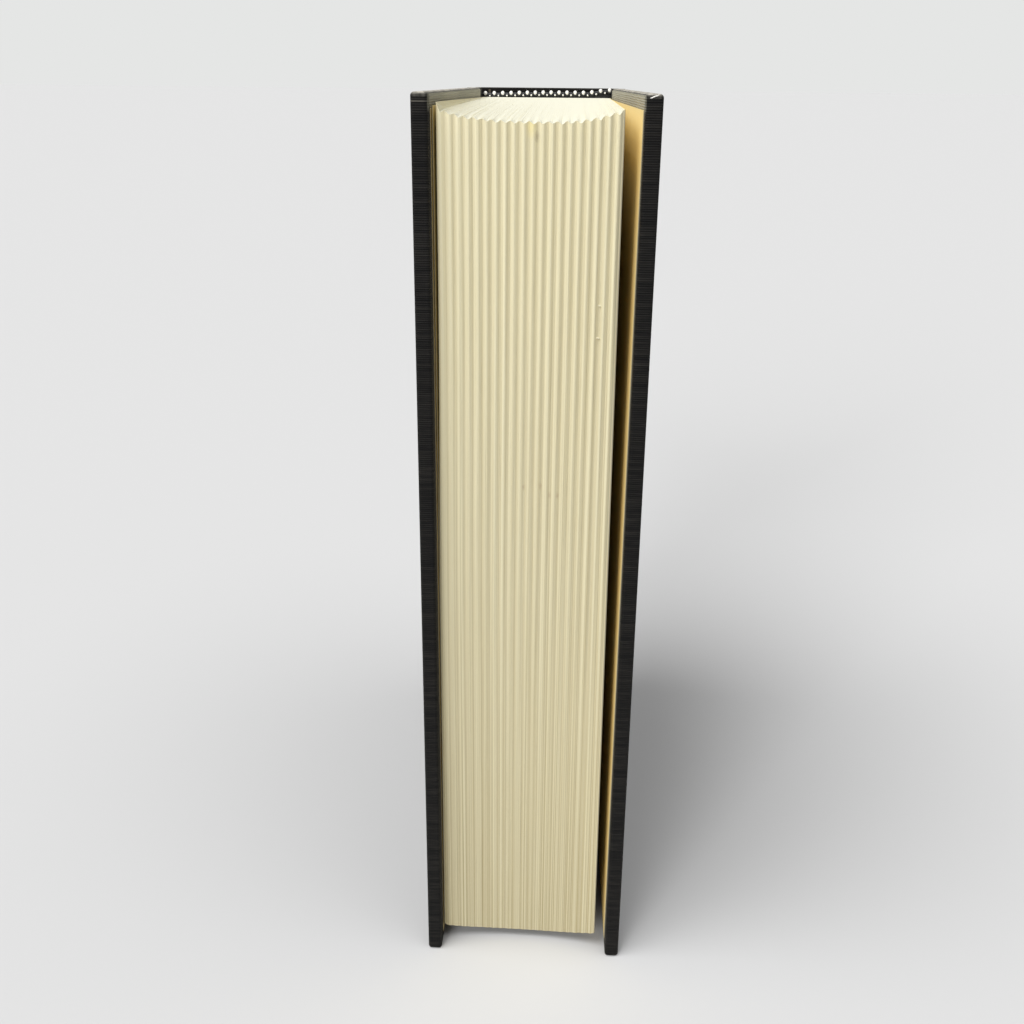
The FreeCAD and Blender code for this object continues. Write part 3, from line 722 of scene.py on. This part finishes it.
            count = add(tree, MATHS, (count, 1.0), operation="SUBTRACT")
        points = add(tree, "GeometryNodeMeshLine", {"Count": count})
        position = along_the_edge(bead_distance, in_front, above)
        points = add(tree, PLACE, {"Geometry": points, "Position": position})
        placed = add(tree, "GeometryNodeInstanceOnPoints", {
            "Points": points, "Instance": shape, "Rotation": turn,
        })
        placed = add(tree, "GeometryNodeRealizeInstances", (placed,))
        made.append(add(tree, "GeometryNodeSetMaterial", {"Geometry": placed, "Material": material}))
    band = add(tree, "GeometryNodeJoinGeometry", {"Geometry": made})
    band = add(tree, "GeometryNodeSetShadeSmooth", {"Geometry": band})
    band = add(tree, "GeometryNodeTransform", {"Geometry": band, "Scale": (MM, MM, MM)})
    piece = grown(name, tree, band, identifiers, sizes)
    piece.data.set_sharp_from_angle(angle=math.radians(50))
    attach(piece, "book_block")
    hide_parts(node)


def smooth_line(corners, roundness, step):
    """A line through corners, each rounded off within a distance of it, with points a step apart or less."""
    corners = [Vector(corner) for corner in corners]
    line = [corners[0]]
    for before, corner, after in zip(corners, corners[1:], corners[2:]):
        reach = min(roundness, (corner - before).length * 0.45, (after - corner).length * 0.45)
        start = corner + (before - corner).normalized() * reach
        end = corner + (after - corner).normalized() * reach
        for share in (0, 0.25, 0.5, 0.75, 1):
            line.append(start.lerp(corner, share).lerp(corner.lerp(end, share), share))
    line.append(corners[-1])
    spaced = [line[0]]
    for point in line[1:]:
        parts = max(1, math.ceil((point - spaced[-1]).length / step))
        start = spaced[-1]
        spaced += [start.lerp(point, part / parts) for part in range(1, parts + 1)]
    return spaced


def ribbon(name, line, thickness, low, high, settle):
    """An upright strip of cloth or paper as a closed shell. line is its outer side as (out, run) in
    millimetres, and settle puts such a point in the frame."""
    inner = []
    for number, point in enumerate(line):
        along = (line[min(number + 1, len(line) - 1)] - line[max(number - 1, 0)]).normalized()
        inner.append(point - Vector((along.y, -along.x)) * thickness)
    loop = line + inner[::-1]
    count = len(line)
    shell = bmesh.new()
    levels = []
    for z in (low, high):
        levels.append([shell.verts.new(Vector((*settle(point), z)) * MM) for point in loop])
    tail, head = levels
    for number in range(len(loop)):
        following = (number + 1) % len(loop)
        shell.faces.new((tail[number], tail[following], head[following], head[number]))
    for number in range(count - 1):
        other = len(loop) - 1 - number
        for level in levels:
            shell.faces.new((level[number], level[number + 1], level[other - 1], level[other]))
    bmesh.ops.recalc_face_normals(shell, faces=shell.faces)
    mesh = bpy.data.meshes.new(name)
    shell.to_mesh(mesh)
    shell.free()
    mesh.shade_smooth()
    mesh.set_sharp_from_angle(angle=math.radians(40))
    piece = bpy.data.objects.new(name, mesh)
    bpy.context.scene.collection.objects.link(piece)
    return piece


def hinges():
    """The cloth in both grooves and the endpaper behind it, each in a piece shaped round the board and a piece
    shaped round the shoulder. Each is cut along the middle of the groove, where nothing bends. The cloth
    lies a hair above the packed cloth. Corners are (out, run) in millimetres."""
    hair = 0.03
    cover_top = COVER_OUT + hair
    groove_out = 1.25 + hair
    paper_out = 0.22
    cloth_thickness = 0.35
    paper_thickness = -0.1
    paper_margin = 3.6
    step = 0.3
    board_cloth = smooth_line([
        (cover_top - 0.02, 143.0), (cover_top, BOARD_END_RUN - 0.03 + hair),
        (groove_out, BOARD_END_RUN + hair), (groove_out, GROOVE_MIDDLE_RUN),
    ], 0.9, step)
    shoulder_cloth = smooth_line([
        (groove_out, GROOVE_MIDDLE_RUN), (groove_out, 157.35), (2.86, 158.64), (2.98, 158.95), (2.98, 161.2),
    ], 0.6, step)
    board_paper = smooth_line([
        (paper_out, GROOVE_MIDDLE_RUN), (paper_out, BOARD_FOLD_RUN), (paper_out + 0.015, 146.0),
    ], 0.4, step)
    shoulder_paper = smooth_line([
        (0.0, 159.3), (0.0, 157.6), (paper_out, 156.4), (paper_out, GROOVE_MIDDLE_RUN),
    ], 0.5, step)
    for side, side_x, outward in (("front", FRONT_SIDE_X, -1), ("back", BACK_SIDE_X, 1)):
        opening = BACK_OPENING if side == "back" else 0.0

        def settle(point):
            out, run = point
            start, end = BOARD_BEND
            share = min(1.0, max(0.0, (start - run) / (start - end)))
            angle = opening * share * share * (3 - 2 * share)
            away_out, away_run = out - FOLD_OUT, run - BOARD_FOLD_RUN
            turned_out = FOLD_OUT + away_out * math.cos(angle) - away_run * math.sin(angle)
            turned_run = BOARD_FOLD_RUN + away_run * math.cos(angle) + away_out * math.sin(angle)
            return side_x + outward * turned_out, FORE_EDGE_Y + turned_run

        joint, cover = side + "_joint", side + "_cover"
        for kind, material, slot, thickness, margin, board_line, shoulder_line in (
            ("cloth", CLOTH, "book_cloth", cloth_thickness, 0.0, board_cloth, shoulder_cloth),
            ("paper", ENDPAPER, "endpaper", paper_thickness, paper_margin, board_paper, shoulder_paper),
        ):
            for fold, line, bodies, (start_run, end_run) in (
                ("_board_fold_", board_line, (joint, cover), BOARD_BEND),
                ("_shoulder_fold_", shoulder_line, ("book_block", joint), SHOULDER_BEND),
            ):
                piece = ribbon(side + fold + kind, line, thickness, margin, COVER_HEIGHT - margin, settle)
                piece.data.materials.append(material)
                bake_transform(piece)


def strand(name, points, radius, material, body):
    """A loose thread through points in millimetres, thinner at its ends."""
    curve = bpy.data.curves.new(name, "CURVE")
    curve.dimensions = "3D"
    curve.bevel_depth = radius * MM
    curve.bevel_resolution = 2
    curve.resolution_u = 6
    curve.use_fill_caps = True
    spline = curve.splines.new("NURBS")
    spline.points.add(len(points) - 1)
    for number, point in enumerate(points):
        spline.points[number].co = (*(Vector(point) * MM), 1.0)
        spline.points[number].radius = 0.5 if number in (0, len(points) - 1) else 1.0
    spline.order_u = 3
    spline.use_endpoint_u = True
    holder = bpy.data.objects.new(name + "_line", curve)
    bpy.context.scene.collection.objects.link(holder)
    mesh = bpy.data.meshes.new_from_object(holder.evaluated_get(bpy.context.evaluated_depsgraph_get()))
    bpy.data.objects.remove(holder)
    mesh.name = name
    mesh.materials.clear()
    mesh.materials.append(material)
    piece = bpy.data.objects.new(name, mesh)
    bpy.context.scene.collection.objects.link(piece)
    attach(piece, body)


def frays():
    """Wear that stands off the surface: a pale thread frayed from the back cover's head corner, and two
    nicked leaves that stick out of the fore-edge. Points are counted from the inner side of the cover, its
    fore-edge and its head, and from each nick."""
    inner_x = BACK_SIDE_X + 4.0
    thread = []
    for across, in_from_fore, below_head in (
        (0.2, 0.3, 0.95), (0.9, 0.02, 0.9), (1.5, 0.06, 0.55), (2.3, 0.3, 0.4), (2.8, 0.8, 0.1),
    ):
        thread.append((inner_x + across, FORE_EDGE_Y + in_from_fore, COVER_HEIGHT - below_head))
    strand("frayed_thread", thread, 0.15, WHITE_SILK, "back_cover")
    for name, x, z in (("nicked_leaf", 16.1, 194.1), ("lower_nicked_leaf", 16.0, 186.3)):
        nick = []
        for across, in_from_fore, rise in (
            (-0.9, 3.0, -0.1), (-0.4, 2.65, 0.15), (0.1, 2.6, 0.0), (0.5, 3.1, -0.5),
        ):
            nick.append((x + across, FORE_EDGE_Y + in_from_fore, z + rise))
        strand(name, nick, 0.17, PAPER, "book_block")


def camera():
    """The photograph's viewpoint: just above the head of the book, looking down along its fore-edge."""
    eye = Vector((8.96, FORE_EDGE_Y - 267.1, 244.72)) * MM
    yaw, pitch, roll = math.radians(2.891), math.radians(21.069), math.radians(0.553)
    forward = Vector((-math.sin(yaw) * math.cos(pitch), math.cos(yaw) * math.cos(pitch), -math.sin(pitch)))
    right = Vector((math.cos(yaw), math.sin(yaw), 0))
    up = right.cross(forward)
    turned_right = right * math.cos(roll) + up * math.sin(roll)
    turned_up = up * math.cos(roll) - right * math.sin(roll)
    data = bpy.data.cameras.new("camera")
    data.sensor_width = 36
    data.lens = 39.48
    data.clip_start, data.clip_end = 0.01, 100
    seen_from = bpy.data.objects.new("camera", data)
    seen_from.matrix_world = Matrix((turned_right, turned_up, -forward)).transposed().to_4x4()
    seen_from.location = eye
    bpy.context.scene.collection.objects.link(seen_from)
    bpy.context.scene.camera = seen_from


def soft_sun(name, towards, spread_degrees, strength):
    """A wide soft lamp whose light is as strong all over the floor."""
    data = bpy.data.lights.new(name, "SUN")
    data.angle = math.radians(spread_degrees)
    data.energy = strength
    lamp = bpy.data.objects.new(name, data)
    lamp.rotation_euler = Vector(towards).to_track_quat("-Z", "Y").to_euler()
    bpy.context.scene.collection.objects.link(lamp)


def seen_at_first_hand(tree):
    """1 for rays from the camera and for those that a reflection or a clear thing sends on, 0 for others."""
    path = add(tree, "ShaderNodeLightPath").outputs
    seen = add(tree, MATHS, (path["Is Camera Ray"], path["Is Glossy Ray"]), operation="MAXIMUM")
    return add(tree, MATHS, (seen, path["Is Transmission Ray"]), operation="MAXIMUM")


def studio():
    """A pale floor and an even pale surround, lit softly from above and in front, most from the left. The
    camera sees the floor and the surround pale. They throw less light back at the book than they seem to."""
    floor = bpy.data.objects.new("floor", bpy.data.meshes.new("floor"))
    reach = 30
    corners = [(-reach, -reach, 0), (reach, -reach, 0), (reach, reach, 0), (-reach, reach, 0)]
    floor.data.from_pydata(corners, [], [(0, 1, 2, 3)])
    material, tree, shader = new_material("pale_floor", 0.95, 0.0)
    seen = seen_at_first_hand(tree)
    colour = add(tree, MIX, (seen, linear("#6f6f6e"), linear("#cecece")), data_type="RGBA")
    tree.links.new(colour.outputs[MIXED_COLOUR], shader.inputs["Base Color"])
    floor.data.materials.append(material)
    bpy.context.scene.collection.objects.link(floor)
    world = bpy.data.worlds.new("surround")
    world.use_nodes = True
    bpy.context.scene.world = world
    tree = world.node_tree
    light = tree.nodes["Background"]
    light.inputs["Color"].default_value = linear("#ffffff")
    light.inputs["Strength"].default_value = 0.22
    backdrop = add(tree, "ShaderNodeBackground", {"Color": linear("#e5e6e5"), "Strength": 1.0})
    chosen = add(tree, "ShaderNodeMixShader", (seen_at_first_hand(tree), light, backdrop))
    tree.links.new(chosen.outputs[0], tree.nodes["World Output"].inputs["Surface"])
    soft_sun("high_left_lamp", (0.42, 0.26, -0.87), 40, 2.1)
    soft_sun("high_right_lamp", (-0.34, 0.16, -0.92), 40, 0.85)
    soft_sun("front_lamp", (0.32, 0.87, -0.37), 26, 1.9)


finish_cad_nodes()
leaves()
worked_band("worked_headband", "head_band", 1.0, 0.9)
worked_band("worked_tailband", "tail_band", -1.0, 0.0)
hinges()
frays()
camera()
studio()
bpy.context.scene.view_settings.view_transform = "Standard"
